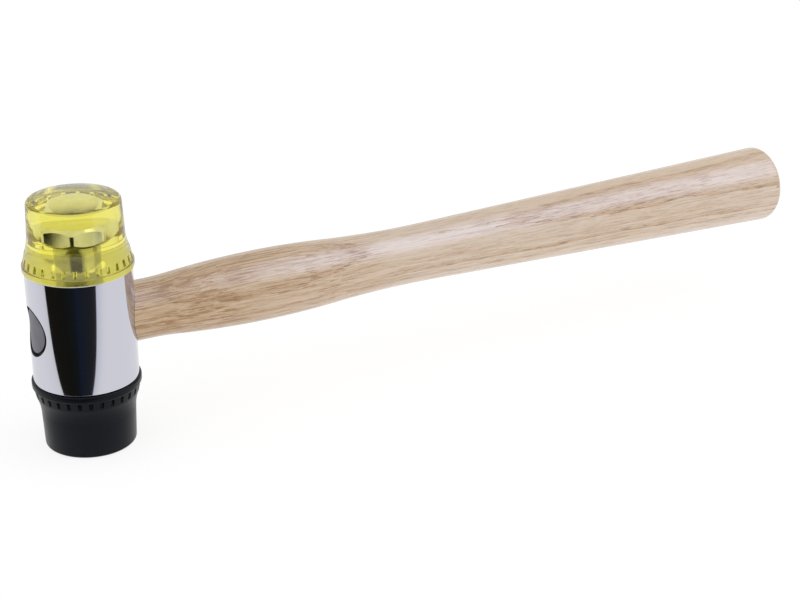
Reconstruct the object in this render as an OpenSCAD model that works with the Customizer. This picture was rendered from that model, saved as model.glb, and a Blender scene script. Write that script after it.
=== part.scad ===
// Soft mallet with two screwed faces: a clear plastic one and a black rubber one.
// The origin is the middle of the flat rubber striking face. The head stands along +Z, rubber face down,
// and the handle points along +X.

/* [Head barrel] */
// Diameter of the steel barrel
barrel_d = 35; // [30:0.5:44]
// Length of the barrel between its two seats
barrel_len = 39; // [34:0.5:60]
// Chamfer on the barrel's ends
barrel_chamfer = 0.5; // [0.2:0.1:1.2]
// Diameter of the eye, the cross bore that takes the handle
eye_d = 17; // [13:0.5:19]
// Depth of the countersink at each tapped hole
countersink = 0.8; // [0.3:0.1:1.5]

/* [Faces] */
// Length of the clear face from its seat to its striking edge
clear_len = 23.4; // [20:0.1:34]
// Length of the rubber face from its seat to its striking end
rubber_len = 23.7; // [20:0.1:34]
// How far the lip stands out past the barrel
lip_over = 0.7; // [0.3:0.1:2]
// Height of the lip
lip_h = 2.2; // [1.2:0.1:3.5]
// Chamfer on the lip's edges
lip_edge = 0.35; // [0.1:0.05:0.5]
// Step from the lip down to the notched band
band_step = 0.35; // [0.1:0.05:0.6]
// Height of the band's far edge above the seat
band_h = 5.7; // [4.6:0.1:8]
// How much the band's radius shrinks towards its far edge
band_taper = 0.8; // [0.2:0.1:1]
// How far the body's radius, carried down to the seat, lies inside the barrel's
body_inset = 1.3; // [0.8:0.1:3]
// Draft of the body towards its striking edge, in degrees
body_draft = 2.3; // [0.5:0.1:3]
// Radius of the hollow blend between band and body
blend_r = 17.5; // [8:0.5:22]
// Rounding of the clear face's striking edge
clear_edge_r = 1.4; // [1:0.1:4]
// Rise of the clear face's domed end
clear_crown = 2; // [0.8:0.1:4]
// Rounding of the rubber face's striking edge
rubber_edge_r = 1; // [0.5:0.1:3]

/* [Collar notches] */
// Number of notches round each collar
notch_count = 30; // [18:1:36]
// Width of a notch
notch_w = 1.3; // [0.8:0.1:2]
// Height of a notch's lower edge above the seat
notch_from = 2.6; // [2.4:0.1:3.2]
// Height of a notch
notch_h = 2.4; // [1:0.1:3]
// Depth of a notch below the band's widest part
notch_depth = 1.1; // [0.6:0.1:1.6]
// Angle at which the clear face comes home on its thread
clear_turn = 8; // [0:0.5:359.5]
// Angle at which the rubber face comes home on its thread
rubber_turn = 2; // [0:0.5:359.5]

/* [Bolts] */
// Thread diameter of the moulded-in bolts
bolt_d = 10; // [8:0.5:12]
// Width across the flats of the bolt's head
bolt_af = 16; // [14:0.5:19]
// Height of the bolt's head
bolt_head_h = 6.4; // [5:0.1:8]
// How deep the head's bearing side sits above the seat
bolt_embed = 9.5; // [8:0.5:12]
// Angle of a bolt's head from the face it is moulded in
bolt_turn = -3.5; // [-30:0.5:30]
// Chamfer at the bolt's tip
bolt_tip = 1.2; // [0.5:0.1:1.8]
// Radial play of the thread in the barrel
thread_play = 0.05; // [0.02:0.01:0.1]
// Metal left between the bolt's tip and the eye
tip_gap = 1; // [0.5:0.1:2]
// Gap between a bolt and the material moulded round it
mould_gap = 0.05; // [0.02:0.01:0.1]

/* [Handle] */
// Distance from the head's axis to the end of the butt
handle_reach = 286; // [200:1:380]
// Height of the neck
neck_h = 20.2; // [18:0.1:24]
// Distance from the head's axis at which the neck starts to swell
neck_at = 22; // [19:1:34]
// Height of the belly
belly_h = 24.6; // [21.2:0.2:32]
// Distance of the belly from the head's axis
belly_at = 66; // [50:1:90]
// Height of the waist
waist_h = 20.7; // [16:0.1:24]
// Distance of the waist from the head's axis
waist_at = 120; // [100:1:160]
// Height of the butt
butt_h = 29.3; // [22:0.1:36]
// Rounding of the butt's edge
butt_r = 2.4; // [1:0.1:5]
// Place where the swell between belly and neck turns over, as a share of the way
neck_turn = 0.78; // [0.4:0.02:0.9]
// Place where the swell between belly and waist turns over, as a share of the way
waist_turn = 0.46; // [0.3:0.02:0.8]
// Gap between the hollowed shoulder and the barrel
shoulder_gap = 0.05; // [0.02:0.01:0.2]

/* [Tenon] */
// Radial gap between tenon and eye
tenon_gap = 0.05; // [0.02:0.01:0.2]
// Depth of the tenon's end below the barrel's outermost line
tenon_sink = 4; // [3:0.1:7]
// Depth of the filler's flat face below the barrel's outermost line
filler_sink = 1.9; // [1.5:0.1:2.7]
// Radial gap round the filler
filler_gap = 1.1; // [0.2:0.1:1.6]
// Length of the wedge
wedge_len = 15; // [10:0.5:20]
// Thickness of the wedge at the tenon's end
wedge_thick = 3; // [2:0.1:4]
// Thickness of the wedge at its tip
wedge_tip = 0.8; // [0.4:0.1:1.5]
// Gap between the wedge and its kerf
wedge_gap = 0.05; // [0.02:0.01:0.1]

/* [Hidden] */

// Sides of round forms, and of the handle's long flat arcs
$fn = 96;
long_arc_fn = 1200;
// Length by which a cutting form runs past what it cuts
past = 1;

// Heights along the head
seat_low = rubber_len;
eye_z = seat_low + barrel_len / 2;
seat_high = seat_low + barrel_len;

// Collar and body of a face, as radii
barrel_r = barrel_d / 2;
lip_r = barrel_r + lip_over;
band_r = lip_r - band_step;
band_end_r = band_r - band_taper;
body_base_r = barrel_r - body_inset;
draft_slope = tan(body_draft);

// Bolts
bolt_stud = (barrel_len - eye_d) / 2 - tip_gap;
hex_chamfer_share = 0.89;
hex_chamfer_angle = 30;

// Handle, as radii
neck_r = neck_h / 2;
belly_r = belly_h / 2;
waist_r = waist_h / 2;
end_r = butt_h / 2;

// Tenon
tenon_r = eye_d / 2 - tenon_gap;
tenon_end_x = tenon_sink - barrel_r;
filler_x = filler_sink - barrel_r;

// Radius of the body at a height above the seat
function body_r(h) = body_base_r - h * draft_slope;

// Radius of an arc with its crest at one point that also passes another
function crest_radius(run, rise) = (run * run + rise * rise) / (2 * rise);

// Unit vector from one point towards another
function towards(from, to) = (to - from) / norm(to - from);

// Middle of the rounding between a body's drafted side and its flat or domed end
function edge_middle(len, edge_r, crown) =
    let (
        slant = sqrt(1 + draft_slope * draft_slope),
        side = body_base_r - edge_r * slant,
        dome_r = crown > 0 ? crest_radius(body_r(len), crown) : 0,
        dome_h = len + crown - dome_r,
        reach = dome_r - edge_r,
        half_b = side * draft_slope + dome_h,
        rest = side * side + dome_h * dome_h - reach * reach,
        flat_h = len - edge_r,
        domed_h = (half_b + sqrt(max(0, half_b * half_b - slant * slant * rest))) / (slant * slant),
        h = crown > 0 ? domed_h : flat_h
    )
    [side - draft_slope * h, h];

// Outline of a face from its axis outwards: lip, notched band, hollow blend, drafted body, rounded end
module face_outline(len, edge_r, crown) {
    slant = sqrt(1 + draft_slope * draft_slope);
    middle = edge_middle(len, edge_r, crown);
    side_end = middle + edge_r * [1, draft_slope] / slant;
    dome_r = crown > 0 ? crest_radius(body_r(len), crown) : 0;
    dome_middle = [0, len + crown - dome_r];
    end_start = crown > 0
        ? middle + edge_r * towards(dome_middle, middle)
        : middle + [0, edge_r];

    // The hollow blend meets the band's edge and runs into the drafted side
    band_edge = [band_end_r, band_h];
    edge_out = (band_end_r - body_r(band_h)) / slant;
    blend_run = sqrt(2 * blend_r * edge_out - edge_out * edge_out);
    side_up = [-draft_slope, 1] / slant;
    side_out = [1, draft_slope] / slant;
    blend_end = band_edge - side_out * edge_out + side_up * blend_run;

    polygon([
        [0, 0],
        [lip_r - lip_edge, 0],
        [lip_r, lip_edge],
        [lip_r, lip_h - lip_edge],
        [lip_r - lip_edge, lip_h],
        [0, lip_h]
    ]);
    polygon([[0, 0], [band_r, 0], [band_r, lip_h], band_edge, [0, band_h]]);
    difference() {
        polygon([
            [0, 0],
            [band_end_r, 0],
            band_edge,
            blend_end,
            side_end,
            middle,
            end_start,
            [0, end_start.y]
        ]);
        translate(blend_end + side_out * blend_r)
            circle(r = blend_r);
    }
    translate(middle)
        circle(r = edge_r);
    if (crown > 0)
        intersection() {
            translate(dome_middle)
                circle(r = dome_r, $fn = long_arc_fn);
            translate([0, middle.y])
                square([end_start.x, len + crown]);
        }
}

// Notches round a collar
module collar_notches() {
    for (i = [0 : notch_count - 1])
        rotate(i * 360 / notch_count)
            translate([band_r - notch_depth, -notch_w / 2, notch_from])
                cube([notch_depth + past, notch_w, notch_h]);
}

// Hexagon bolt, head up, with its bearing side bolt_embed above the seat. With grow it is the space round it.
module bolt_form(grow = 0) {
    corner_r = (bolt_af + 2 * grow) / sqrt(3);
    chamfer_r = hex_chamfer_share * bolt_af / 2 + grow;
    head_top = bolt_embed + bolt_head_h + grow;
    chamfer_drop = (corner_r - chamfer_r) * tan(hex_chamfer_angle);
    shank_r = bolt_d / 2 + grow;

    intersection() {
        translate([0, 0, bolt_embed - grow])
            cylinder(r = corner_r, h = bolt_head_h + 2 * grow, $fn = 6);
        rotate_extrude()
            polygon([
                [0, 0],
                [corner_r, 0],
                [corner_r, head_top - chamfer_drop],
                [chamfer_r, head_top],
                [0, head_top]
            ]);
    }
    rotate_extrude()
        polygon([
            [0, -bolt_stud - grow],
            [shank_r - bolt_tip, -bolt_stud - grow],
            [shank_r, bolt_tip - bolt_stud - grow],
            [shank_r, bolt_embed + bolt_head_h / 2],
            [0, bolt_embed + bolt_head_h / 2]
        ]);
}

// One face with its collar notched and the bolt's space left open, seat down
module face_form(len, edge_r, crown) {
    difference() {
        rotate_extrude()
            face_outline(len, edge_r, crown);
        collar_notches();
        rotate(bolt_turn)
            bolt_form(mould_gap);
    }
}

// Places a face's pieces on the upper seat
module on_top() {
    translate([0, 0, seat_high])
        rotate(clear_turn)
            children();
}

// Places a face's pieces on the lower seat, upside down
module on_bottom() {
    translate([0, 0, seat_low])
        rotate([180, 0, rubber_turn])
            children();
}

// Lays a form that was made along +Z along the handle
module along_handle() {
    translate([0, 0, eye_z])
        rotate([0, 90, 0])
            children();
}

// Outline of the turned handle from its axis outwards: neck, belly, waist, straight flare, rounded butt
module handle_outline() {
    // Two arcs make each swell: one round the belly's crest, one in the neck's or the waist's hollow
    neck_arcs = crest_radius(belly_at - neck_at, belly_r - neck_r);
    waist_arcs = crest_radius(waist_at - belly_at, belly_r - waist_r);
    fore_arc = neck_turn * neck_arcs;
    neck_arc = neck_arcs - fore_arc;
    aft_arc = waist_turn * waist_arcs;
    waist_arc = waist_arcs - aft_arc;
    fore_middle = [belly_r - fore_arc, belly_at];
    neck_middle = [neck_r + neck_arc, neck_at];
    aft_middle = [belly_r - aft_arc, belly_at];
    waist_middle = [waist_r + waist_arc, waist_at];
    fore_meet = fore_middle + fore_arc * towards(fore_middle, neck_middle);
    aft_meet = aft_middle + aft_arc * towards(aft_middle, waist_middle);

    // The flare leaves the waist's hollow as a tangent through the butt's edge
    to_butt = [end_r, handle_reach] - waist_middle;
    leave_angle = atan2(to_butt.y, to_butt.x) + acos(waist_arc / norm(to_butt));
    flare_start = waist_middle + waist_arc * [cos(leave_angle), sin(leave_angle)];
    flare_slope = (end_r - flare_start.x) / (handle_reach - flare_start.y);
    flare_slant = sqrt(1 + flare_slope * flare_slope);
    round_middle = [end_r - butt_r * (flare_slope + flare_slant), handle_reach - butt_r];
    flare_end = round_middle + butt_r * [1, -flare_slope] / flare_slant;

    difference() {
        union() {
            polygon([
                [0, 0],
                [neck_r, 0],
                [neck_r, neck_at],
                fore_meet,
                [belly_r, belly_at],
                aft_meet,
                flare_start,
                flare_end,
                round_middle,
                [round_middle.x, handle_reach],
                [0, handle_reach]
            ]);
            crest(fore_middle, fore_arc, fore_meet.y, belly_at);
            crest(aft_middle, aft_arc, belly_at, aft_meet.y);
        }
        translate(neck_middle)
            circle(r = neck_arc, $fn = long_arc_fn);
        translate(waist_middle)
            circle(r = waist_arc, $fn = long_arc_fn);
    }
    translate(round_middle)
        circle(r = butt_r);
}

// Stretch of the handle's outline under one arc of its belly
module crest(middle, arc, from, to) {
    intersection() {
        translate(middle)
            circle(r = arc, $fn = long_arc_fn);
        translate([0, from])
            square([belly_r + past, to - from]);
    }
}

// Wedge driven into the tenon's end, thick side out. With grow it is the kerf round it.
module wedge_form(grow = 0) {
    translate([0, 0, eye_z])
        intersection() {
            linear_extrude(height = eye_d, center = true)
                polygon([
                    [tenon_end_x, -wedge_thick / 2 - grow],
                    [tenon_end_x + wedge_len + grow, -wedge_tip / 2 - grow],
                    [tenon_end_x + wedge_len + grow, wedge_tip / 2 + grow],
                    [tenon_end_x, wedge_thick / 2 + grow]
                ]);
            translate([tenon_end_x, 0, 0])
                rotate([0, 90, 0])
                    cylinder(r = tenon_r + grow, h = wedge_len + grow);
        }
}

module head_barrel() {
    hole_r = bolt_d / 2 + thread_play;
    color("silver")
        translate([0, 0, seat_low])
            difference() {
                rotate_extrude()
                    polygon([
                        [hole_r + countersink, 0],
                        [barrel_r - barrel_chamfer, 0],
                        [barrel_r, barrel_chamfer],
                        [barrel_r, barrel_len - barrel_chamfer],
                        [barrel_r - barrel_chamfer, barrel_len],
                        [hole_r + countersink, barrel_len],
                        [hole_r, barrel_len - countersink],
                        [hole_r, countersink]
                    ]);
                translate([0, 0, barrel_len / 2])
                    rotate([0, 90, 0])
                        cylinder(d = eye_d, h = 2 * barrel_d, center = true);
            }
}

module handle() {
    color("burlywood")
        difference() {
            union() {
                difference() {
                    along_handle()
                        rotate_extrude()
                            handle_outline();
                    cylinder(r = barrel_r + shoulder_gap, h = 2 * seat_high);
                }
                along_handle()
                    translate([0, 0, tenon_end_x])
                        cylinder(r = tenon_r, h = belly_at - tenon_end_x);
            }
            wedge_form(wedge_gap);
        }
}

module tenon_wedge() {
    color("peru")
        wedge_form();
}

module eye_filler() {
    color("slategray")
        along_handle()
            translate([0, 0, filler_x])
                cylinder(r = eye_d / 2 - filler_gap, h = tenon_end_x - filler_x);
}

module clear_face() {
    color("gold", 0.6)
        on_top()
            face_form(clear_len, clear_edge_r, clear_crown);
}

module clear_face_bolt() {
    color("gray")
        on_top()
            rotate(bolt_turn)
                bolt_form();
}

module rubber_face() {
    color("black")
        on_bottom()
            face_form(rubber_len, rubber_edge_r, 0);
}

module rubber_face_bolt() {
    color("gray")
        on_bottom()
            rotate(bolt_turn)
                bolt_form();
}

head_barrel();
handle();
tenon_wedge();
eye_filler();
clear_face();
clear_face_bolt();
rubber_face();
rubber_face_bolt();
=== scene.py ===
"""Looks of a soft mallet: a chromed barrel with a clear and a rubber face on a pale handle."""

import math

import bpy
import numpy as np
from mathutils import Matrix, Vector


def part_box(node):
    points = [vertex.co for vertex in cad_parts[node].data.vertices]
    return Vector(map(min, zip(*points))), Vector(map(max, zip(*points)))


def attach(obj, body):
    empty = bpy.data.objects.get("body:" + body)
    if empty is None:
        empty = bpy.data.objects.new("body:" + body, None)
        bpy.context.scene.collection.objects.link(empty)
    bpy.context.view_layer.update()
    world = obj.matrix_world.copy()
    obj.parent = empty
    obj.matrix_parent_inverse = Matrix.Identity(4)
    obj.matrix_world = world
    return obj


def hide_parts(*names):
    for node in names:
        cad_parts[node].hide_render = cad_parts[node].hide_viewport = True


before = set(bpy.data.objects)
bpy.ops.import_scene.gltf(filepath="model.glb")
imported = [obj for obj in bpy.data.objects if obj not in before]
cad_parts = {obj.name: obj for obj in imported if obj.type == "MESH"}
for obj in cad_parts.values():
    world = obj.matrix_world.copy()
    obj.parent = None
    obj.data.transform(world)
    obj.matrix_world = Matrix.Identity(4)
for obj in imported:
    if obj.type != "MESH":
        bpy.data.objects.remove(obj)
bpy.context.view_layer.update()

# The frame is in metres. Shapes are worked out in millimetres.
MM = 0.001

# Distance within which two places count as the same
NEAR = 0.02

# Camera, at the photograph's viewing angle
CAMERA_AT = (-165.14, -510.43, 273.78)
CAMERA_AZIMUTH = -29.19
CAMERA_ELEVATION = 22.97
CAMERA_LENS = 78.3

# Times that light may turn back inside the clear face
LIGHT_BOUNCES = 28

# Strength of the white surroundings on matt surfaces
WORLD_LIGHT = 0.72

# Floor: its half width and height, its glow to the eye, to mirrors and to matt surfaces,
# and the whiteness of its paper to the eye and to matt surfaces
FLOOR_HALF = 4000
FLOOR_Z = -0.2
FLOOR_GLOW = 0.82
FLOOR_MIRRORED = 0.95
FLOOR_BOUNCE = 0.22
FLOOR_SEEN = 0.25
FLOOR_WHITE = 0.95

# Lamps over the handle: one lights surfaces and the other is mirrored by them
KEY_POWER = 1.6
KEY_TINT = (1.0, 0.98, 0.96)
SHEEN_POWER = 15.5
SHEEN_TINT = (0.54, 0.66, 1.0)
LAMP_AT = (720, -325, 776)
LAMP_AIM = (720, 0, 45)
LAMP_SIZE = (860, 800)

# Dark cards on the floor, each a fan: their height and rim points, and for each one its tip,
# direction, reach, half angle and colours from side to side
CARD_H = 0.1
CARD_POINTS = 24
FRONT_TIP = (-25, -41.5)
FRONT_TOWARD = -132.4
FRONT_REACH = 1600
FRONT_HALF = 100.0
FRONT_STOPS = (
    (0.0, FLOOR_MIRRORED),
    (0.12, 0.88),
    (0.156, 0.80),
    (0.162, (0.012, 0.010, 0.007)),
    (0.40, (0.008, 0.0085, 0.007)),
    (0.55, (0.009, 0.012, 0.014)),
    (0.59, (0.011, 0.015, 0.034)),
    (0.64, (0.011, 0.016, 0.024)),
    (0.80, (0.020, 0.020, 0.023)),
    (0.847, (0.034, 0.034, 0.042)),
    (0.855, (0.73, 0.75, 0.80)),
    (0.94, 0.92),
    (1.0, FLOOR_MIRRORED),
)
BACK_TIP = (8, 25)
BACK_TOWARD = 72
BACK_REACH = 320
BACK_HALF = 26.0
BACK_STOPS = (
    (0.0, FLOOR_MIRRORED),
    (0.12, 0.85),
    (0.14, (0.030, 0.030, 0.036)),
    (0.45, (0.010, 0.012, 0.016)),
    (0.86, (0.012, 0.011, 0.009)),
    (0.88, 0.85),
    (1.0, FLOOR_MIRRORED),
)

# Dark screen on the camera's side: how far off it stands, its two sides, its foot and its top
SCREEN_AWAY = 900
SCREEN_SIDES = (-1000, 450)
SCREEN_HEIGHTS = (650, 2200)
SCREEN_DARK = 0.06

# Collar and body of the two faces
LIP_H = 2.2
LIP_EDGE = 0.35
BAND_STEP = 0.35
BAND_H = 5.7
BAND_TAPER = 0.8
BODY_INSET = 1.3
BODY_DRAFT = 2.3
BLEND_R = 17.5
CLEAR_EDGE_R = 1.4
CLEAR_CROWN = 2.0
RUBBER_EDGE_R = 1.0
CLEAR_TURN = 8.0
RUBBER_TURN = 2.0

# Depth to which the clear face is pressed on its seat
SEAT_PRESS = 0.012

# Notches round each collar. A notch's floor is a share of its mouth's width, and its ends slope in.
# The columns are those across one notch and across the land between two.
NOTCH_COUNT = 30
NOTCH_W = 1.3
NOTCH_FROM = 2.6
NOTCH_H = 2.4
NOTCH_DEPTH = 1.1
NOTCH_FLOOR = 0.4
NOTCH_SLOPE = 0.35
NOTCH_BEVEL = 0.13
NOTCH_COLUMNS = 2
LAND_COLUMNS = 6

# Bolts
BOLT_R = 5.0
BOLT_AF = 16.0
BOLT_EMBED = 9.5
BOLT_TURN = -3.5
BOLT_CHAMFER_SHARE = 0.89
BOLT_CHAMFER_ANGLE = 42.0
BOLT_CORNER_R = 1.5
BOLT_TIP = 1.2
BOLT_FILLET = 0.4
THREAD_PITCH = 1.5
THREAD_DEPTH = 0.85
THREAD_FLANK = 2.6
THREAD_ROOT = 0.8
THREAD_RUN_OUT = 3.0
THREAD_END = 0.5
THREAD_PLAY = 0.05
THREAD_STEPS = 10

# Barrel
BARREL_EDGE = 0.5
COUNTERSINK = 0.8
EYE_R = 8.5

# Share by which a face has to look at the eye's axis to count as bored
BORE_FACING = 0.9

# Filler of the eye
FILLER_SINK = 0.45
FILLER_EDGE = 0.3
# Depth of the sunk ring round the filler, which is painted black as the shadow in the gap by the
# bore
SHADED_RING_SINK = 1.3

# Handle
NECK_R = 10.1
NECK_AT = 22.0
BELLY_R = 12.3
BELLY_AT = 66.0
WAIST_R = 10.35
WAIST_AT = 120.0
BUTT_R = 14.65
BUTT_EDGE = 2.4
NECK_TURN = 0.78
WAIST_TURN = 0.46
SHOULDER_GAP = 0.05
TENON_GAP = 0.05
TENON_EDGE = 0.5
WEDGE_LEN = 15.0
WEDGE_THICK = 3.0
WEDGE_TIP = 0.8
WEDGE_GAP = 0.05

# Wood of the handle: how far off and how far down its pith lies, the rings, the grain's lean,
# where the darker, browner wood with bolder lines near the head ends and the golden top starts, and
# how far each fades
PITH_AWAY = 60.0
PITH_DOWN = 47.8
RING_W = 2.6
RING_AT = 9.4
RING_SEED = 389
GRAIN_LEAN = -0.012
BOLD_END = 118.0
BOLD_FADE = 85.0
GOLD_FROM = 9.0
GOLD_FADE = 3.0

# Colours of the handle's wood
WOOD_PALE = (0.775, 0.650, 0.540)
WOOD_TAN = (0.755, 0.615, 0.485)
WOOD_GOLD = (0.750, 0.570, 0.390)
WOOD_NEAR_HEAD = (0.680, 0.490, 0.300)
WOOD_EARLY = (0.560, 0.350, 0.185)
WOOD_LINES = (0.400, 0.225, 0.095)
WOOD_PORES = (0.260, 0.135, 0.055)

# Colours of metal, with the bore's steel darkened as painted shade, and the black painted as shade
# in the gap round the eye's filler
CHROME = (0.615, 0.62, 0.685)
# The bored eye's rough steel, darkened near black as painted shade in the eye's recess
BORE_STEEL_AND_SHADE = (0.07, 0.07, 0.08)
SHANK_STEEL = (0.62, 0.62, 0.58)
# Black painted on the filler's side and on the sunk ring round it, as the shadow in the gap
GAP_PAINTED_SHADE = (0.004, 0.004, 0.006)

# Margins of the finish round the barrel's hole, under the bolt's head and round its shank
HOLE_MARGIN = 0.2
HEAD_MARGIN = 0.05
SHANK_MARGIN = 0.1

# Height above the floor to which the rubber is scuffed, and its colour there
SCUFF_H = 7.0
SCUFFED = (0.014, 0.014, 0.016)

# Sides of round forms
ROUND = 240
HANDLE_ROUND = 160

# Angles in degrees past which an edge stays sharp in shading, or is rounded on the two faces
FACE_CREASE = 32
BOLT_CREASE = 28
BARREL_CREASE = 25
HANDLE_CREASE = 32
FILLER_CREASE = 40
BEVEL_FROM = 50


def span(name):
    """Lowest and highest corner of a node of the frame, in millimetres."""
    low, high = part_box(name)
    return low / MM, high / MM


barrel_low, barrel_high = span("head_barrel")
BARREL_R = (barrel_high.x - barrel_low.x) / 2
SEAT_LOW = barrel_low.z
SEAT_HIGH = barrel_high.z
EYE_Z = (SEAT_LOW + SEAT_HIGH) / 2
clear_low, clear_high = span("clear_face")
LIP_R = (clear_high.x - clear_low.x) / 2
CLEAR_LEN = clear_high.z - SEAT_HIGH - CLEAR_CROWN
RUBBER_LEN = SEAT_LOW - span("rubber_face")[0].z
handle_low, handle_high = span("handle")
TENON_END = handle_low.x
REACH = handle_high.x
filler_low, filler_high = span("eye_filler")
FILLER_R = (filler_high.y - filler_low.y) / 2
FILLER_SEAT = filler_high.x
bolt_low, bolt_high = span("clear_face_bolt")
BOLT_END = bolt_low.z - SEAT_HIGH
BOLT_TOP = bolt_high.z - SEAT_HIGH
BAND_R = LIP_R - BAND_STEP
BAND_END_R = BAND_R - BAND_TAPER
BODY_BASE_R = BARREL_R - BODY_INSET
DRAFT_SLOPE = math.tan(math.radians(BODY_DRAFT))
DRAFT_SLANT = math.hypot(1, DRAFT_SLOPE)
HOLE_R = BOLT_R + THREAD_PLAY
QUARTER = math.pi / 2


def make_camera():
    """Camera of the photograph."""
    data = bpy.data.cameras.new("camera")
    data.lens = CAMERA_LENS
    camera = bpy.data.objects.new("camera", data)
    camera.location = Vector(CAMERA_AT) * MM
    camera.rotation_euler = (
        math.radians(90 - CAMERA_ELEVATION),
        0,
        math.radians(CAMERA_AZIMUTH),
    )
    bpy.context.scene.collection.objects.link(camera)
    bpy.context.scene.camera = camera


# Outlines


def arc(middle, radius, start, end, count):
    """A count of points on an arc, with its angles in radians."""
    return [
        (middle[0] + radius * math.cos(t), middle[1] + radius * math.sin(t))
        for t in np.linspace(start, end, count)
    ]


def crest_radius(run, rise):
    """Radius of an arc with its crest at one point that also passes another."""
    return (run * run + rise * rise) / (2 * rise)


def angle_to(middle, point):
    """Direction from one point to another, from 0 to a full turn."""
    return math.atan2(point[1] - middle[1], point[0] - middle[0]) % math.tau


def collar_outline():
    """Seat, rounded lip and notched band of a face, with the row at which the notches start."""
    corner = LIP_R - LIP_EDGE
    points = [(0, 0), (BOLT_R, 0), (LIP_R / 2, 0)]
    points += arc((corner, LIP_EDGE), LIP_EDGE, -QUARTER, 0, count=6)
    points += arc((corner, LIP_H - LIP_EDGE), LIP_EDGE, 0, QUARTER, count=6)
    notch_row = len(points)
    for height in (NOTCH_FROM, NOTCH_FROM + NOTCH_H):
        share = (height - LIP_H) / (BAND_H - LIP_H)
        points.append((BAND_R - share * BAND_TAPER, height))
    return points, notch_row


def body_blend():
    """Hollow arc that leads from a face's band into its drafted body."""
    edge_out = (BAND_END_R - (BODY_BASE_R - BAND_H * DRAFT_SLOPE)) / DRAFT_SLANT
    run = math.sqrt(2 * BLEND_R * edge_out - edge_out**2)
    up = Vector((-DRAFT_SLOPE, 1)) / DRAFT_SLANT
    out = Vector((1, DRAFT_SLOPE)) / DRAFT_SLANT
    band_edge = Vector((BAND_END_R, BAND_H))
    blend_end = band_edge - out * edge_out + up * run
    middle = blend_end + out * BLEND_R
    start, end = angle_to(middle, band_edge), angle_to(middle, blend_end)
    return arc(middle, BLEND_R, start, end, count=14)


def flat_end(length, edge_r):
    """Rounded edge and flat striking end of a face."""
    middle_h = length - edge_r
    middle_r = BODY_BASE_R - edge_r * DRAFT_SLANT - DRAFT_SLOPE * middle_h
    points = arc((middle_r, middle_h), edge_r, math.atan(DRAFT_SLOPE), QUARTER, count=10)
    return points + [(middle_r * share, length) for share in (0.66, 0.33, 0)]


def domed_end(length, edge_r, crown):
    """Rounded edge and low domed striking end of a face, tangent to each other."""
    side = BODY_BASE_R - edge_r * DRAFT_SLANT
    dome = crest_radius(BODY_BASE_R - length * DRAFT_SLOPE, crown)
    dome_h = length + crown - dome
    half_b = side * DRAFT_SLOPE + dome_h
    rest = side**2 + dome_h**2 - (dome - edge_r) ** 2
    middle_h = (half_b + math.sqrt(half_b**2 - DRAFT_SLANT**2 * rest)) / DRAFT_SLANT**2
    middle = (side - DRAFT_SLOPE * middle_h, middle_h)
    edge_end = angle_to((0, dome_h), middle)
    points = arc(middle, edge_r, math.atan(DRAFT_SLOPE), edge_end, count=10)
    return points + arc((0, dome_h), dome, edge_end, QUARTER, count=24)[1:]


def face_outline(end):
    """Half section of a face from its seat to the middle of its striking end, and its notch row."""
    points, notch_row = collar_outline()
    return points + body_blend() + end, notch_row


def butt_outline(flare):
    """Straight flare from its start to the butt, the butt's rounded edge and its flat end."""
    slope = (BUTT_R - flare.x) / (REACH - flare.y)
    middle_r = BUTT_R - BUTT_EDGE * (slope + math.hypot(1, slope))
    edge_start = -math.atan(slope)
    edge = arc((middle_r, REACH - BUTT_EDGE), BUTT_EDGE, edge_start, QUARTER, count=14)
    flare_end = Vector(edge[0])
    points = [tuple(flare.lerp(flare_end, share)) for share in np.linspace(0, 1, 24)[1:]]
    return points + edge[1:] + [(middle_r * share, REACH) for share in (0.8, 0.6, 0.4, 0.2)]


def handle_outline():
    """Half section of the turned handle as radius and distance from the head's axis."""
    neck_arcs = crest_radius(BELLY_AT - NECK_AT, BELLY_R - NECK_R)
    waist_arcs = crest_radius(WAIST_AT - BELLY_AT, BELLY_R - WAIST_R)
    fore = NECK_TURN * neck_arcs
    neck = neck_arcs - fore
    aft = WAIST_TURN * waist_arcs
    waist = waist_arcs - aft
    fore_middle = Vector((BELLY_R - fore, BELLY_AT))
    neck_middle = Vector((NECK_R + neck, NECK_AT))
    aft_middle = Vector((BELLY_R - aft, BELLY_AT))
    waist_middle = Vector((WAIST_R + waist, WAIST_AT))
    fore_meet = fore_middle + fore * (neck_middle - fore_middle).normalized()
    aft_meet = aft_middle + aft * (waist_middle - aft_middle).normalized()
    to_butt = Vector((BUTT_R, REACH)) - waist_middle
    leave = math.atan2(to_butt.y, to_butt.x) + math.acos(waist / to_butt.length)
    flare = waist_middle + waist * Vector((math.cos(leave), math.sin(leave)))

    points = arc(neck_middle, neck, math.pi, angle_to(neck_middle, fore_meet), count=12)
    fore_start = angle_to(fore_middle, fore_meet) - math.tau
    points += arc(fore_middle, fore, fore_start, 0, count=26)[1:]
    points += arc(aft_middle, aft, 0, angle_to(aft_middle, aft_meet), count=26)[1:]
    waist_start, waist_end = angle_to(waist_middle, aft_meet), angle_to(waist_middle, flare)
    points += arc(waist_middle, waist, waist_start, waist_end, count=26)[1:]
    return points + butt_outline(flare)


# Meshes


def around_z(radius, height, angles):
    """Ring of points round the head's axis, or its one point on the axis."""
    if radius == 0:
        return [(0, 0, height)]
    return [(radius * math.cos(t), radius * math.sin(t), height) for t in angles]


def around_x(radius, x, angles):
    """Ring of points round the handle's axis, or its one point on the axis."""
    if radius == 0:
        return [(x, 0, EYE_Z)]
    return [(x, radius * math.cos(t), EYE_Z + radius * math.sin(t)) for t in angles]


def even_angles(count):
    """Angles of a whole turn in equal steps."""
    return np.linspace(0, math.tau, count, endpoint=False)


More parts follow.
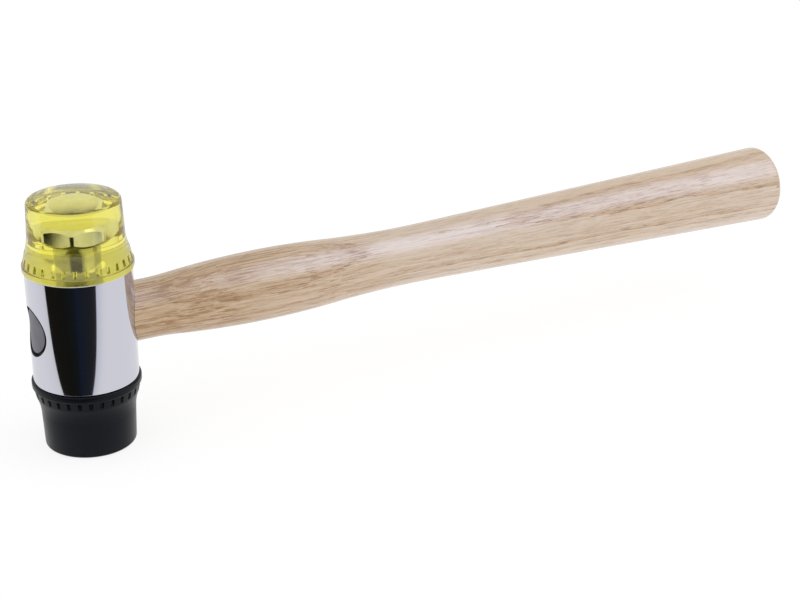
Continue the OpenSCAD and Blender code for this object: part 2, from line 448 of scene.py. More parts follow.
def skin(rings, left_out=()):
    """Vertices and faces through rings of points, without the left out (row, column) cells."""
    vertices, faces, starts = [], [], []
    for ring in rings:
        starts.append(len(vertices))
        vertices += ring
    for row, (a, b) in enumerate(zip(starts, starts[1:])):
        here, there = len(rings[row]), len(rings[row + 1])
        count = max(here, there)
        for j in range(count):
            if (row, j) in left_out:
                continue
            k = (j + 1) % count
            if here == 1:
                faces.append((a, b + k, b + j))
            elif there == 1:
                faces.append((a + j, a + k, b))
            else:
                faces.append((a + j, a + k, b + k, b + j))
    return vertices, faces, starts


def new_object(name, vertices, faces, place=Matrix.Identity(4)):
    """Mesh object from points in millimetres."""
    mesh = bpy.data.meshes.new(name)
    mesh.from_pydata([(place @ Vector(v)) * MM for v in vertices], [], faces)
    mesh.validate()
    mesh.update()
    thing = bpy.data.objects.new(name, mesh)
    bpy.context.scene.collection.objects.link(thing)
    return thing


def smooth(thing, crease):
    """Smooth shading, broken at edges sharper than the crease angle in degrees."""
    mesh = thing.data
    mesh.polygons.foreach_set("use_smooth", [True] * len(mesh.polygons))
    mesh.set_sharp_from_angle(angle=math.radians(crease))


def soften(thing, width):
    """Rounds an object's sharp edges."""
    bevel = thing.modifiers.new("soft_edges", "BEVEL")
    bevel.width = width * MM
    bevel.segments = 2
    bevel.limit_method = "ANGLE"
    bevel.angle_limit = math.radians(BEVEL_FROM)
    bevel.harden_normals = True


def cut(thing, cutter):
    """Takes one object's form out of another."""
    step = thing.modifiers.new("cut", "BOOLEAN")
    step.operation = "DIFFERENCE"
    step.solver = "EXACT"
    step.object = cutter
    graph = bpy.context.evaluated_depsgraph_get()
    mesh = bpy.data.meshes.new_from_object(thing.evaluated_get(graph))
    thing.modifiers.clear()
    old = thing.data
    thing.data = mesh
    mesh.name = thing.name
    bpy.data.meshes.remove(old)
    tool = cutter.data
    bpy.data.objects.remove(cutter)
    bpy.data.meshes.remove(tool)


def dress(thing, node, body, material):
    """Puts a piece on its body in place of a node, with its finish."""
    thing.data.materials.clear()
    thing.data.materials.append(material)
    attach(thing, body)
    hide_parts(node)


def collar_angles():
    """Angles round a collar that fall on the notches' edges, and each notch's first column."""
    pitch = math.tau / NOTCH_COUNT
    half = math.asin(NOTCH_W / 2 / BAND_R)
    angles, firsts = [], []
    for i in range(NOTCH_COUNT):
        start, end = i * pitch - half, i * pitch + half
        firsts.append(len(angles))
        angles += list(np.linspace(start, end, NOTCH_COLUMNS, endpoint=False))
        angles += list(np.linspace(end, start + pitch, LAND_COLUMNS, endpoint=False))
    return angles, firsts


def face_form(name, outline, notch_row, place):
    """Moulded face with its collar notched, as one closed form."""
    angles, firsts = collar_angles()
    rings = [around_z(r, h, angles) for r, h in outline]
    left_out = {(notch_row, first + i) for first in firsts for i in range(NOTCH_COLUMNS)}
    vertices, faces, starts = skin(rings, left_out)
    low, high = starts[notch_row], starts[notch_row + 1]
    heights = (outline[notch_row][1] + NOTCH_SLOPE, outline[notch_row + 1][1] - NOTCH_SLOPE)
    for first in firsts:
        last = first + NOTCH_COLUMNS
        middle = (angles[first] + angles[last]) / 2
        edges = angles[first : last + 1]
        floor_angles = [middle + (angle - middle) * NOTCH_FLOOR for angle in edges]
        foot = len(vertices)
        top = foot + len(edges)
        for height in heights:
            vertices += around_z(BAND_R - NOTCH_DEPTH, height, floor_angles)
        for i in range(NOTCH_COLUMNS):
            j = first + i
            faces.append((foot + i, foot + i + 1, top + i + 1, top + i))
            faces.append((low + j, low + j + 1, foot + i + 1, foot + i))
            faces.append((top + i, top + i + 1, high + j + 1, high + j))
        faces.append((low + first, foot, top, high + first))
        far_foot, far_top = foot + NOTCH_COLUMNS, top + NOTCH_COLUMNS
        faces.append((low + last, high + last, far_top, far_foot))
    thing = new_object(name, vertices, faces, place)
    smooth(thing, FACE_CREASE)
    soften(thing, NOTCH_BEVEL)
    return thing


def thread_wave(height, angle):
    """Filled share of a right-hand thread's depth, from 0 in its root to 1 on its crest."""
    phase = (height / THREAD_PITCH - angle / math.tau) % 1
    return min(max(THREAD_FLANK * abs(2 * phase - 1) - THREAD_ROOT, 0), 1)


def thread_rows(start, end, radius, angles):
    """Rings of a thread with its crest at the radius, cut in at its start and run out at its end."""
    rows = []
    count = round(abs(end - start) / THREAD_PITCH * THREAD_STEPS)
    for h in np.linspace(start, end, count):
        ease = min((h - start) / THREAD_PITCH, (end - h) / THREAD_RUN_OUT, 1)
        radii = [radius - THREAD_DEPTH * ease * (1 - thread_wave(h, t)) for t in angles]
        rows.append([(r * math.cos(t), r * math.sin(t), h) for r, t in zip(radii, angles)])
    return rows


def hexagon_rim():
    """Angles and radii of a hexagon with rounded corners, one of them on the first axis."""
    half = BOLT_AF / 2
    slope = math.radians(30)
    middle = (half - BOLT_CORNER_R) / math.cos(slope)
    flat_end_at = math.atan((half - BOLT_CORNER_R) * math.tan(slope) / half)
    side = [(t, half / math.cos(t)) for t in np.linspace(-flat_end_at, flat_end_at, 10)]
    corner = []
    for off in np.linspace(flat_end_at - slope, slope - flat_end_at, 8)[1:-1]:
        reach = math.sqrt(BOLT_CORNER_R**2 - (middle * math.sin(off)) ** 2)
        corner.append((slope + off, middle * math.cos(off) + reach))
    rim = [(t + slope + i * math.pi / 3, r) for i in range(6) for t, r in side + corner]
    return [t for t, _ in rim], [r for _, r in rim]


def bolt_form(name, place):
    """Hexagon bolt with a chamfered head, a plain shank and a rolled thread."""
    angles, hexagon = hexagon_rim()
    chamfer_r = BOLT_CHAMFER_SHARE * BOLT_AF / 2
    fall = math.tan(math.radians(BOLT_CHAMFER_ANGLE))

    def hex_ring(base, slope):
        return [
            (r * math.cos(t), r * math.sin(t), base + (r - chamfer_r) * slope)
            for r, t in zip(hexagon, angles)
        ]

    fillet_middle = (BOLT_R + BOLT_FILLET, BOLT_EMBED - BOLT_FILLET)
    fillet = arc(fillet_middle, BOLT_FILLET, math.pi, QUARTER, count=5)
    rings = [around_z(0, BOLT_END, angles), around_z(BOLT_R - BOLT_TIP, BOLT_END, angles)]
    rings += thread_rows(BOLT_END + BOLT_TIP, THREAD_END, BOLT_R, angles)
    rings += [around_z(r, h, angles) for r, h in fillet]
    rings += [around_z(chamfer_r, BOLT_EMBED, angles)]
    rings += [hex_ring(BOLT_EMBED, fall), hex_ring(BOLT_TOP, -fall)]
    rings += [around_z(chamfer_r * share, BOLT_TOP, angles) for share in (1, 0.6, 0.3, 0)]
    vertices, faces, _ = skin(rings)
    thing = new_object(name, vertices, faces, place)
    smooth(thing, BOLT_CREASE)
    return thing


def barrel_normal(point, flat):
    """Outward direction of the polished surface at a point, from its round form."""
    radius = math.hypot(point.x, point.y)
    across = Vector((0, point.y, point.z - EYE_Z))
    on_bore = abs(across.length - EYE_R) < NEAR
    if on_bore and flat.dot(across) < -BORE_FACING * across.length:
        return -across.normalized()
    if radius < BARREL_R - BARREL_EDGE - NEAR / 2:
        return flat
    out = Vector((point.x, point.y, 0)) / radius
    inner_low, inner_high = SEAT_LOW + BARREL_EDGE, SEAT_HIGH - BARREL_EDGE
    if inner_low <= point.z <= inner_high:
        return out
    rim = out * (BARREL_R - BARREL_EDGE)
    rim.z = min(max(point.z, inner_low), inner_high)
    return (point - rim).normalized()


def barrel_outline():
    """Closed section of the barrel: its wall between two rounded rims, and its countersunk hole."""
    rim = BARREL_R - BARREL_EDGE
    wall_low, wall_high = SEAT_LOW + BARREL_EDGE, SEAT_HIGH - BARREL_EDGE
    points = arc((rim, wall_low), BARREL_EDGE, -QUARTER, 0, count=7)
    points += [(BARREL_R, z) for z in np.linspace(wall_low, wall_high, 14)[1:-1]]
    points += arc((rim, wall_high), BARREL_EDGE, 0, QUARTER, count=7)
    mouth = HOLE_R + COUNTERSINK
    points += [(mouth, SEAT_HIGH), (HOLE_R, SEAT_HIGH - COUNTERSINK)]
    return points + [(HOLE_R, SEAT_LOW + COUNTERSINK), (mouth, SEAT_LOW)]


def eye_cutter():
    """Round bar across the barrel that the eye is bored with."""
    angles = even_angles(HANDLE_ROUND)
    past = 2 * BARREL_R
    ends = ((0, -past), (EYE_R, -past), (EYE_R, past), (0, past))
    vertices, faces, _ = skin([around_x(r, x, angles) for r, x in ends])
    return new_object("eye_cutter", vertices, faces)


def barrel_form(name):
    """Chromed barrel with a countersunk hole along it for the bolts and the eye bored across it."""
    angles = even_angles(ROUND)
    rings = [around_z(r, z, angles) for r, z in barrel_outline()]
    vertices, faces, _ = skin(rings + rings[:1])
    count = len(rings) * ROUND
    faces = [tuple(i % count for i in face) for face in faces]
    thing = new_object(name, vertices[:count], faces)
    cut(thing, eye_cutter())
    smooth(thing, BARREL_CREASE)
    mesh = thing.data
    normals = []
    for polygon in mesh.polygons:
        for corner in polygon.vertices:
            point = mesh.vertices[corner].co / MM
            normals.append(barrel_normal(point, polygon.normal))
    mesh.normals_split_custom_set(normals)
    return thing


def handle_form(name):
    """Turned handle with its hollowed shoulder, its tenon and the wedge's kerf."""
    angles = even_angles(HANDLE_ROUND)
    tenon_r = EYE_R - TENON_GAP
    hollow = BARREL_R + SHOULDER_GAP

    def hollow_ring(radius, share):
        ring = []
        for t in angles:
            y, z = radius * math.cos(t), radius * math.sin(t)
            x = math.sqrt(hollow**2 - y**2)
            ring.append((x + share * (NECK_AT - x), y, EYE_Z + z))
        return ring

    rings = [around_x(r, TENON_END, angles) for r in (0, tenon_r - TENON_EDGE)]
    rings += [around_x(tenon_r, TENON_END + TENON_EDGE, angles), hollow_ring(tenon_r, 0)]
    rings += [hollow_ring(NECK_R, share) for share in (0, 0.25, 0.5, 0.75)]
    rings += [around_x(r, x, angles) for r, x in handle_outline()]
    rings += [around_x(0, REACH, angles)]
    vertices, faces, _ = skin(rings)
    thing = new_object(name, vertices, faces)
    cut(thing, kerf_cutter())
    smooth(thing, HANDLE_CREASE)
    return thing


def kerf_cutter():
    """Space in the tenon that the wedge fills, run out past the tenon's end and sides."""
    past = 1
    start, end = TENON_END - past, TENON_END + WEDGE_LEN + WEDGE_GAP
    thick, tip = WEDGE_THICK / 2 + WEDGE_GAP, WEDGE_TIP / 2 + WEDGE_GAP
    corners = [(start, -thick), (end, -tip), (end, tip), (start, thick)]
    tall = EYE_R + past
    vertices = [(x, y, EYE_Z + z) for z in (-tall, tall) for x, y in corners]
    faces = [(3, 2, 1, 0), (4, 5, 6, 7)]
    faces += [(i, (i + 1) % 4, (i + 1) % 4 + 4, i + 4) for i in range(4)]
    return new_object("kerf_cutter", vertices, faces)


def filler_form(name):
    """Plug of the eye, with a face that follows the barrel's curve and a sunk ring round it, which
    its material paints black as the shadow in the gap.
    """
    angles = even_angles(HANDLE_ROUND)

    def curved_ring(radius, sink):
        curve = BARREL_R - sink
        ring = []
        for t in angles:
            y, z = radius * math.cos(t), radius * math.sin(t)
            ring.append((-math.sqrt(curve**2 - y**2), y, EYE_Z + z))
        return ring

    shaded_ring_r = EYE_R - TENON_GAP
    edge_middle = (FILLER_R - FILLER_EDGE, FILLER_SINK + FILLER_EDGE)
    edge = arc(edge_middle, FILLER_EDGE, -QUARTER, 0, count=6)
    rings = [[(FILLER_SINK - BARREL_R, 0, EYE_Z)]]
    for share in (0.15, 0.3, 0.5, 0.7, 0.85):
        rings.append(curved_ring(FILLER_R * share, FILLER_SINK))
    rings += [curved_ring(radius, sink) for radius, sink in edge]
    rings += [curved_ring(FILLER_R, SHADED_RING_SINK), curved_ring(shaded_ring_r, SHADED_RING_SINK)]
    rings += [around_x(r, FILLER_SEAT, angles) for r in (shaded_ring_r, 0)]
    vertices, faces, _ = skin(rings)
    thing = new_object(name, vertices, faces)
    smooth(thing, FILLER_CREASE)
    return thing


# Nodes of materials


def empty_material(name):
    """Material with no shader yet, as its material, its tree and its surface's socket."""
    material = bpy.data.materials.new(name)
    material.use_nodes = True
    tree = material.node_tree
    tree.nodes.clear()
    out = tree.nodes.new("ShaderNodeOutputMaterial")
    return material, tree, out.inputs["Surface"]


def new_material(name):
    """Material with a principled shader, as its material, its tree and that shader."""
    material, tree, socket = empty_material(name)
    surface = tree.nodes.new("ShaderNodeBsdfPrincipled")
    tree.links.new(surface.outputs["BSDF"], socket)
    return material, tree, surface


def feed(tree, node, values):
    """Links or sets inputs of a node."""
    for key, value in values.items():
        if isinstance(value, bpy.types.NodeSocket):
            tree.links.new(value, node.inputs[key])
        else:
            node.inputs[key].default_value = value


def add(tree, kind, inputs=None, **settings):
    """Adds a node with its settings and inputs."""
    made = tree.nodes.new("ShaderNode" + kind)
    for key, value in settings.items():
        setattr(made, key, value)
    feed(tree, made, inputs or {})
    return made


def object_place(tree):
    """Place on the object in millimetres."""
    coords = add(tree, "TexCoord").outputs["Object"]
    scaled = add(tree, "VectorMath", {0: coords, "Scale": 1 / MM}, operation="SCALE")
    return scaled.outputs["Vector"]


def vector(tree, operation, a, b):
    """Result of a vector operation."""
    return add(tree, "VectorMath", {0: a, 1: b}, operation=operation).outputs["Vector"]


def vector_length(tree, value):
    """Length of a vector."""
    return add(tree, "VectorMath", {0: value}, operation="LENGTH").outputs["Value"]


def dot(tree, value, direction):
    """Reach of a vector in a direction."""
    made = add(tree, "VectorMath", {0: value, 1: direction}, operation="DOT_PRODUCT")
    return made.outputs["Value"]


def axis(tree, where, name):
    """One coordinate of a place."""
    return add(tree, "SeparateXYZ", {0: where}).outputs[name]


def calc(tree, operation, a, b=0.0, c=0.0, clamp=False):
    """Result of a sum on numbers."""
    made = add(tree, "Math", {0: a, 1: b, 2: c}, operation=operation, use_clamp=clamp)
    return made.outputs["Value"]


def from_head_axis(tree, where):
    """Distance from the head's axis."""
    return vector_length(tree, vector(tree, "MULTIPLY", where, (1, 1, 0)))


def from_handle_axis(tree, where):
    """Distance from the handle's axis."""
    centred = vector(tree, "SUBTRACT", where, (0, 0, EYE_Z))
    return vector_length(tree, vector(tree, "MULTIPLY", centred, (0, 1, 1)))


def from_middle(tree, where):
    """Height above or below the middle of the barrel."""
    return calc(tree, "ABSOLUTE", calc(tree, "SUBTRACT", axis(tree, where, "Z"), EYE_Z))


def noise(tree, where, scale, detail=2.0, roughness=0.5, output="Fac"):
    """Noise with its own scale along each axis, in repeats per millimetre."""
    stretched = vector(tree, "MULTIPLY", where, scale)
    inputs = {"Vector": stretched, "Scale": 1.0, "Detail": detail, "Roughness": roughness}
    return add(tree, "TexNoise", inputs).outputs[output]


def opaque(colour):
    """Colour or grey with full alpha."""
    if isinstance(colour, (int, float)):
        colour = (colour,) * 3
    return (*colour, 1)


def ramp(tree, value, *stops):
    """Value turned to a colour or a grey through stops of place and colour."""
    made = add(tree, "ValToRGB", {"Fac": value})
    elements = made.color_ramp.elements
    while len(elements) < len(stops):
        elements.new(0.5)
    for element, (at, colour) in zip(elements, stops):
        element.position = at
        element.color = opaque(colour)
    return made.outputs["Color"]


def mix(tree, share, a, b):
    """Two colours or greys mixed by a share."""
    ends = [end if isinstance(end, bpy.types.NodeSocket) else opaque(end) for end in (a, b)]
    made = add(tree, "Mix", data_type="RGBA")
    feed(tree, made, {0: share, 6: ends[0], 7: ends[1]})
    return made.outputs[2]


def bump(tree, surface, height, distance):
    """Raises the surface by a height of up to the distance in millimetres."""
    made = add(tree, "Bump", {"Height": height, "Distance": distance * MM, "Strength": 1.0})
    feed(tree, surface, {"Normal": made.outputs["Normal"]})


# Materials


def drift(tree, where, scale, detail, roughness, reach):
    """Sideways drift of the grain, up to half the reach each way."""
    drifted = noise(tree, where, scale, detail, roughness, output="Color")
    drifted = vector(tree, "SUBTRACT", drifted, (0.5, 0.5, 0.5))
    return vector(tree, "MULTIPLY", drifted, (0, reach, reach))


def early_wood(tree, grown, along):
    """Share of early wood, which starts each growth ring and is of its own depth each year."""
    down = math.radians(PITH_DOWN)
    pith = (0, PITH_AWAY * math.cos(down), -PITH_AWAY * math.sin(down))
    from_pith = vector(tree, "MULTIPLY", vector(tree, "SUBTRACT", grown, pith), (0, 1, 1))
    leant = calc(tree, "MULTIPLY_ADD", along, GRAIN_LEAN, vector_length(tree, from_pith))
    first = PITH_AWAY + RING_AT + GRAIN_LEAN * NECK_AT
    rings = calc(tree, "DIVIDE", calc(tree, "SUBTRACT", leant, first), RING_W)
    early = ramp(
        tree,
        calc(tree, "FRACT", rings),
        (0.0, 0.75),
        (0.05, 1.0),
        (0.22, 0.55),
        (0.55, 0.12),
        (0.9, 0.0),
        (1.0, 0.3),
    )
    year = calc(tree, "ADD", calc(tree, "FLOOR", rings), RING_SEED)
    depth = add(tree, "TexWhiteNoise", {"W": year}, noise_dimensions="1D").outputs["Value"]
    return calc(tree, "MULTIPLY", early, calc(tree, "MULTIPLY_ADD", depth, 0.8, 0.2))


def wood_colour(tree, where, grown, along, early, fibre, pores):
    """Pale ground, golden on top and browner near the head, with early wood, lines and pores."""
    tone = ramp(tree, noise(tree, where, (0.012, 0.07, 0.07)), (0.35, 0.0), (0.65, 1.0))
    to_head = calc(tree, "SUBTRACT", BOLD_END, along)
    near_head = calc(tree, "DIVIDE", to_head, BOLD_FADE, clamp=True)
    over = calc(tree, "SUBTRACT", axis(tree, grown, "Z"), GOLD_FROM)
    gold = calc(tree, "DIVIDE", over, GOLD_FADE, clamp=True)

    streaks = noise(tree, grown, (0.022, 1.7, 1.7), 3, 0.6)
    streaks = ramp(tree, streaks, (0.53, 0.0), (0.60, 1.0))
    lines = calc(tree, "MULTIPLY_ADD", streaks, 0.75, calc(tree, "MULTIPLY", fibre, 0.5))
    lines = calc(tree, "MULTIPLY", lines, calc(tree, "ADD", near_head, 0.36))
    early_share = calc(tree, "MULTIPLY_ADD", near_head, -0.2, 0.75)

    colour = mix(tree, tone, WOOD_PALE, WOOD_TAN)
    colour = mix(tree, calc(tree, "MULTIPLY", gold, 0.8), colour, WOOD_GOLD)
    # Darker and browner towards the head
    colour = mix(tree, calc(tree, "MULTIPLY", near_head, 0.8), colour, WOOD_NEAR_HEAD)
    colour = mix(tree, calc(tree, "MULTIPLY", early, early_share), colour, WOOD_EARLY)
    colour = mix(tree, lines, colour, WOOD_LINES)
    return mix(tree, calc(tree, "MULTIPLY", pores, 0.9), colour, WOOD_PORES)


def handle_wood():
    """Pale ash cut lengthwise, with rows of pores along its rings, under a thin satin lacquer."""
    material, tree, surface = new_material("pale_ash")
    where = vector(tree, "SUBTRACT", object_place(tree), (0, 0, EYE_Z))
    along = axis(tree, where, "X")
    wander = drift(tree, where, (0.012, 0.03, 0.03), 2, 0.5, reach=3.2)
    ripple = drift(tree, where, (0.035, 0.45, 0.45), 3, 0.6, reach=2.2)
    grown = vector(tree, "ADD", where, vector(tree, "ADD", wander, ripple))
    early = early_wood(tree, grown, along)
    fibre = noise(tree, where, (0.035, 1.5, 1.5), 5, 0.75)
    fibre = ramp(tree, fibre, (0.38, 0.0), (0.62, 1.0))
    pores = noise(tree, where, (0.13, 2.3, 2.3), 3, 0.65)
    pores = ramp(tree, pores, (0.52, 0.0), (0.62, 1.0))
    pores = calc(tree, "MULTIPLY", pores, calc(tree, "MULTIPLY_ADD", early, 0.8, 0.2))
    finish = {
        "Base Color": wood_colour(tree, where, grown, along, early, fibre, pores),
        "Roughness": ramp(tree, fibre, (0.0, 0.34), (1.0, 0.44)),
        "Specular IOR Level": 0.35,
        "Coat Weight": 0.6,
        "Coat Roughness": 0.2,
    }
    feed(tree, surface, finish)
    height = calc(tree, "SUBTRACT", fibre, calc(tree, "MULTIPLY", pores, 1.5))
    bump(tree, surface, height, 0.03)
    return material


def wedge_wood():
    """Darker hardwood of the wedge, with straight grain."""
    material, tree, surface = new_material("wedge_beech")
    fibre = noise(tree, object_place(tree), (0.05, 2.0, 2.0), 4, 0.6)
    colour = ramp(tree, fibre, (0.3, (0.42, 0.26, 0.14)), (0.7, (0.55, 0.36, 0.21)))
    feed(tree, surface, {"Base Color": colour, "Roughness": 0.6})
    bump(tree, surface, fibre, 0.04)
    return material


def chrome():
    """Bright chrome plate with faint handling haze, with faced ends and a dull bored eye darkened
    near black as painted shade.
    """
    material, tree, surface = new_material("bright_chrome")
    where = object_place(tree)
    half_len = (SEAT_HIGH - SEAT_LOW) / 2
    at_end = calc(tree, "GREATER_THAN", from_middle(tree, where), half_len - NEAR)
    hole_reach = BOLT_R + COUNTERSINK + HOLE_MARGIN
    in_hole = calc(tree, "LESS_THAN", from_head_axis(tree, where), hole_reach)
    faced = calc(tree, "MAXIMUM", at_end, in_hole)
    bored = calc(tree, "LESS_THAN", from_handle_axis(tree, where), EYE_R + NEAR)

    turned = noise(tree, where, (0.4, 0.4, 0.4), 3, 0.6)
    bright = ramp(tree, turned, (0.3, (0.58, 0.58, 0.57)), (0.7, (0.66, 0.66, 0.65)))
    # The bore's rough finish is real; its near-black colour is painted shade in the eye's recess
    colour = mix(tree, bored, mix(tree, faced, CHROME, bright), BORE_STEEL_AND_SHADE)
    haze = noise(tree, where, (0.08, 0.08, 0.12), 4, 0.6)
    lines = noise(tree, where, (0.05, 0.05, 5.0), 3, 0.6)
    marks = calc(tree, "MULTIPLY_ADD", haze, 0.6, calc(tree, "MULTIPLY", lines, 0.4))
    rough = ramp(tree, marks, (0.35, 0.03), (0.7, 0.085))
    rough = mix(tree, bored, mix(tree, faced, rough, 0.16), 0.6)
    feed(tree, surface, {"Base Color": colour, "Metallic": 1, "Roughness": rough})
    bump(tree, surface, noise(tree, where, (0.07, 0.07, 0.05), 1, 0.4), 0.006)
    return material


def bolt_steel():
    """Zinc-plated steel with faint forging lines up its head and a darker shank and thread."""
    material, tree, surface = new_material("zinc_plated_steel")
    where = object_place(tree)
    head_from = SEAT_HIGH + BOLT_EMBED - EYE_Z - HEAD_MARGIN
    under_head = calc(tree, "LESS_THAN", from_middle(tree, where), head_from)
    slim = calc(tree, "LESS_THAN", from_head_axis(tree, where), BOLT_R + SHANK_MARGIN)
    shank = calc(tree, "MULTIPLY", under_head, slim)
    patches = noise(tree, where, (0.22, 0.22, 0.22))
    colour = ramp(tree, patches, (0.3, (0.68, 0.68, 0.66)), (0.7, (0.80, 0.80, 0.78)))
    colour = mix(tree, shank, colour, SHANK_STEEL)
    rough = mix(tree, shank, ramp(tree, patches, (0.3, 0.14), (0.7, 0.24)), 0.2)
    feed(tree, surface, {"Base Color": colour, "Metallic": 1, "Roughness": rough})
    bump(tree, surface, noise(tree, where, (2.5, 2.5, 0.12), 3, 0.6), 0.006)
    return material


def clear_plastic():
    """Transparent yellow plastic, deeper in colour where it is thicker."""
    material, tree, surface = new_material("clear_yellow_plastic")
    where = object_place(tree)
    handling = noise(tree, where, (0.25, 0.25, 0.25), 4, 0.6)
    rough = ramp(tree, handling, (0.45, 0.012), (0.75, 0.05))
    above = calc(tree, "SUBTRACT", axis(tree, where, "Z"), SEAT_HIGH)
    rough = mix(tree, calc(tree, "LESS_THAN", above, BAND_H), rough, 0.04)
    finish = {
        "Base Color": opaque((1, 0.99, 0.93)),
        "Transmission Weight": 1,
        "IOR": 1.49,
        "Roughness": rough,
    }
    feed(tree, surface, finish)
    bump(tree, surface, noise(tree, where, (0.16, 0.16, 0.2), 2, 0.4), 0.012)
    tint = {"Color": opaque((0.965, 0.93, 0.06)), "Density": 62.0}
    depth = add(tree, "VolumeAbsorption", tint)
    out = tree.nodes["Material Output"]
    tree.links.new(depth.outputs["Volume"], out.inputs["Volume"])
    return material


def black_rubber():
    """Moulded black rubber with a fine skin and scuffs towards its striking end."""
    material, tree, surface = new_material("moulded_black_rubber")
    where = object_place(tree)
    cloud = noise(tree, where, (0.12, 0.12, 0.12), 4, 0.6)
    scuff = noise(tree, where, (0.9, 0.9, 0.5), 5, 0.65)
    low = calc(tree, "DIVIDE", axis(tree, where, "Z"), SCUFF_H)
    worn = calc(tree, "SUBTRACT", 1.0, low, clamp=True)
    worn = calc(tree, "MULTIPLY", worn, ramp(tree, scuff, (0.5, 0.0), (0.68, 1.0)))
    black = ((0.3, (0.0026, 0.0029, 0.0044)), (0.7, (0.0040, 0.0043, 0.0060)))
    colour = ramp(tree, cloud, *black)
    plain = ramp(tree, cloud, (0.3, 0.26), (0.7, 0.33))
    finish = {
        "Base Color": mix(tree, calc(tree, "MULTIPLY", worn, 0.5), colour, SCUFFED),
        "Roughness": calc(tree, "MULTIPLY_ADD", worn, 0.2, plain),
        "Specular IOR Level": 0.16,
        "Specular Tint": opaque((0.80, 0.84, 1.0)),
    }
    feed(tree, surface, finish)
    pebble = noise(tree, where, (1.6, 1.6, 1.6), 3, 0.6)
    bump(tree, surface, calc(tree, "ADD", pebble, scuff), 0.015)
    return material


def eye_grey():
    """Grey filler with a slightly uneven pressed surface, and black painted round its side as the
    shadow in the gap.
    """
    material, tree, surface = new_material("grey_filler")
    where = object_place(tree)
    cloud = noise(tree, where, (0.3, 0.3, 0.3), 4, 0.6)
    grey = ((0.3, (0.140, 0.140, 0.165)), (0.7, (0.185, 0.185, 0.212)))
    colour = ramp(tree, cloud, *grey)
    # Painted shade: the filler's side and the ring round it are black, standing in for the shadow in
    # the gap
    face_r = FILLER_R - FILLER_EDGE / 2
    in_gap_shade = calc(tree, "GREATER_THAN", from_handle_axis(tree, where), face_r)
    finish = {
        "Base Color": mix(tree, in_gap_shade, colour, GAP_PAINTED_SHADE),
        "Roughness": ramp(tree, cloud, (0.3, 0.38), (0.7, 0.5)),
        "Specular IOR Level": 0.2,
    }
    feed(tree, surface, finish)
    bump(tree, surface, noise(tree, where, (1.2, 1.2, 1.2), 3, 0.6), 0.02)
    return material


# Stage


def by_ray(tree, eye, mirrored, matt):
    """Number for rays from the eye, for those that a mirror or the plastic sends on, and others."""
    path = add(tree, "LightPath").outputs
    sent_on = calc(tree, "MAXIMUM", path["Is Glossy Ray"], path["Is Transmission Ray"])
    unseen = calc(tree, "MULTIPLY_ADD", sent_on, mirrored - matt, matt)
    return calc(tree, "MULTIPLY_ADD", path["Is Camera Ray"], eye - matt, unseen)


def hide(thing, *kinds):
    """Hides an object from kinds of rays."""
    for kind in kinds:
        setattr(thing, "visible_" + kind, False)


def make_world():
    """White surroundings that light the object less than they show."""
    world = bpy.data.worlds.new("studio")
    bpy.context.scene.world = world
    world.use_nodes = True
    tree = world.node_tree
    strength = by_ray(tree, 1.0, 1.0, WORLD_LIGHT)
    feed(tree, tree.nodes["Background"], {"Color": opaque(1), "Strength": strength})


def make_floor():
    """White floor that keeps the object's soft shadow."""
    material, tree, socket = empty_material("white_floor")
    strength = by_ray(tree, FLOOR_GLOW, FLOOR_MIRRORED, FLOOR_BOUNCE)
    glow = add(tree, "Emission", {"Strength": strength})
    shade = by_ray(tree, FLOOR_SEEN, 0.0, FLOOR_WHITE)
    paper = add(tree, "BsdfDiffuse", {"Color": shade})
    both = add(tree, "AddShader", {0: glow.outputs[0], 1: paper.outputs[0]})
    tree.links.new(both.outputs[0], socket)
    near, far = -FLOOR_HALF, FLOOR_HALF
    corners = [(near, near), (far, near), (far, far), (near, far)]
    floor = new_object("floor", [(x, y, FLOOR_Z) for x, y in corners], [(0, 1, 2, 3)])
    floor.data.materials.append(material)


def make_card(name, tip, toward, reach, half, stops):
    """Fan on the floor that only mirrors and the plastic see, coloured from side to side."""
    material, tree, socket = empty_material(name)
    middle = math.radians(toward)
    half = math.radians(half)
    from_tip = vector(tree, "SUBTRACT", object_place(tree), (*tip, 0))
    along = dot(tree, from_tip, (math.cos(middle), math.sin(middle), 0))
    across = dot(tree, from_tip, (-math.sin(middle), math.cos(middle), 0))
    angle = calc(tree, "ARCTAN2", across, along)
    share = calc(tree, "MULTIPLY_ADD", angle, 0.5 / half, 0.5)
    glow = add(tree, "Emission", {"Color": ramp(tree, share, *stops)})
    tree.links.new(glow.outputs[0], socket)
    rim = arc(tip, reach, middle - half, middle + half, CARD_POINTS)
    points = [(x, y, CARD_H) for x, y in [tip, *rim]]
    card = new_object(name, points, [(0, i, i + 1) for i in range(1, len(rim))])
    card.data.materials.append(material)
    hide(card, "camera", "diffuse", "shadow")
    return card


def make_screen():
    """Dark upright screen that shows only in the plastic, where the bolt's shank mirrors it."""
    material, tree, socket = empty_material("dark_screen")
    dark = add(tree, "Emission", {"Color": opaque(SCREEN_DARK)})
    tree.links.new(dark.outputs[0], socket)
    away = Vector((CAMERA_AT[0], CAMERA_AT[1], 0)).normalized()
    side = Vector((-away.y, away.x, 0))
    left, right = (away * SCREEN_AWAY + side * reach for reach in SCREEN_SIDES)
    foot, top = (Vector((0, 0, height)) for height in SCREEN_HEIGHTS)
    points = [left + foot, right + foot, right + top, left + top]
    screen = new_object("dark_screen", points, [(0, 1, 2, 3)])
    screen.data.materials.append(material)
    hide(screen, "camera", "diffuse", "glossy", "shadow")


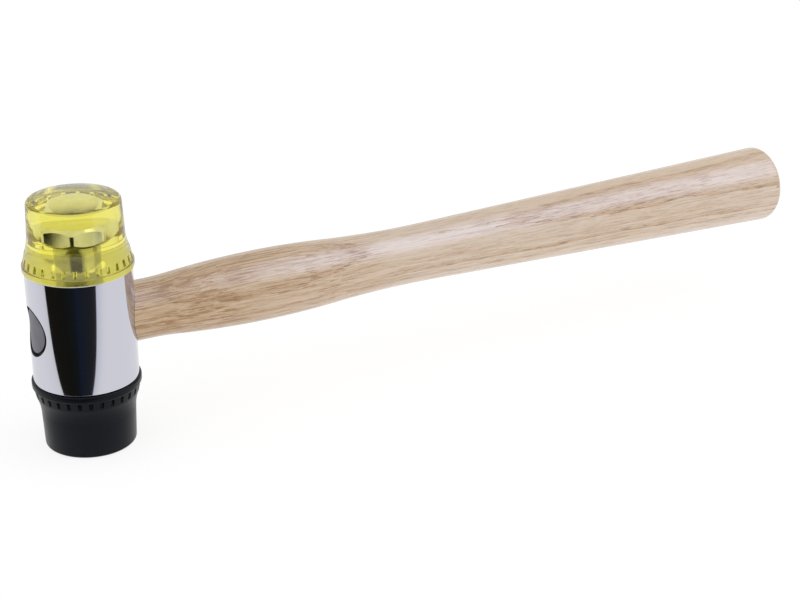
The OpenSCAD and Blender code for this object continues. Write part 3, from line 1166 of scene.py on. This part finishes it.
def make_lamp(name, power, tint, mirrored):
    """Soft lamp over the handle, unseen itself, that lights surfaces or is mirrored by them."""
    data = bpy.data.lights.new(name, "AREA")
    data.shape = "RECTANGLE"
    data.size, data.size_y = (side * MM for side in LAMP_SIZE)
    data.energy = power
    data.color = tint
    lamp = bpy.data.objects.new(name, data)
    lamp.location = Vector(LAMP_AT) * MM
    toward = (Vector(LAMP_AIM) - Vector(LAMP_AT)).normalized()
    lamp.rotation_euler = toward.to_track_quat("-Z", "Y").to_euler()
    hide(lamp, "camera", "diffuse" if mirrored else "glossy")
    bpy.context.scene.collection.objects.link(lamp)


def make_stage():
    """Floor, lamps, and what is dark in the polished barrel and in the plastic."""
    make_world()
    make_floor()
    make_card("front_card", FRONT_TIP, FRONT_TOWARD, FRONT_REACH, FRONT_HALF, FRONT_STOPS)
    back = make_card("back_card", BACK_TIP, BACK_TOWARD, BACK_REACH, BACK_HALF, BACK_STOPS)
    hide(back, "transmission")
    make_screen()
    make_lamp("key", KEY_POWER, KEY_TINT, mirrored=False)
    make_lamp("sheen", SHEEN_POWER, SHEEN_TINT, mirrored=True)


def turn_z(angle):
    """Turn round the head's axis, in degrees."""
    return Matrix.Rotation(math.radians(angle), 4, "Z")


make_camera()
bpy.context.scene.view_settings.view_transform = "Standard"
for kind in ("max", "glossy", "transmission"):
    setattr(bpy.context.scene.cycles, kind + "_bounces", LIGHT_BOUNCES)
make_stage()

on_top = Matrix.Translation((0, 0, SEAT_HIGH)) @ turn_z(CLEAR_TURN)
pressed = Matrix.Translation((0, 0, -SEAT_PRESS))
upside_down = Matrix.Rotation(math.pi, 4, "X")
on_bottom = Matrix.Translation((0, 0, SEAT_LOW)) @ turn_z(RUBBER_TURN) @ upside_down
clear_end = domed_end(CLEAR_LEN + SEAT_PRESS, CLEAR_EDGE_R, CLEAR_CROWN)
rubber_end = flat_end(RUBBER_LEN, RUBBER_EDGE_R)
steel = bolt_steel()

barrel = barrel_form("barrel")
dress(barrel, "head_barrel", "hammer", chrome())
handle = handle_form("turned_handle")
dress(handle, "handle", "hammer", handle_wood())
filler = filler_form("eye_disc")
dress(filler, "eye_filler", "hammer", eye_grey())
clear = face_form("clear_striker_face", *face_outline(clear_end), pressed @ on_top)
dress(clear, "clear_face", "clear_striker", clear_plastic())
clear_bolt = bolt_form("clear_striker_bolt", on_top @ turn_z(BOLT_TURN))
dress(clear_bolt, "clear_face_bolt", "clear_striker", steel)
rubber = face_form("rubber_striker_face", *face_outline(rubber_end), on_bottom)
dress(rubber, "rubber_face", "rubber_striker", black_rubber())
rubber_bolt = bolt_form("rubber_striker_bolt", on_bottom @ turn_z(BOLT_TURN))
dress(rubber_bolt, "rubber_face_bolt", "rubber_striker", steel)
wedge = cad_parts["tenon_wedge"]
wedge.data.materials.clear()
wedge.data.materials.append(wedge_wood())
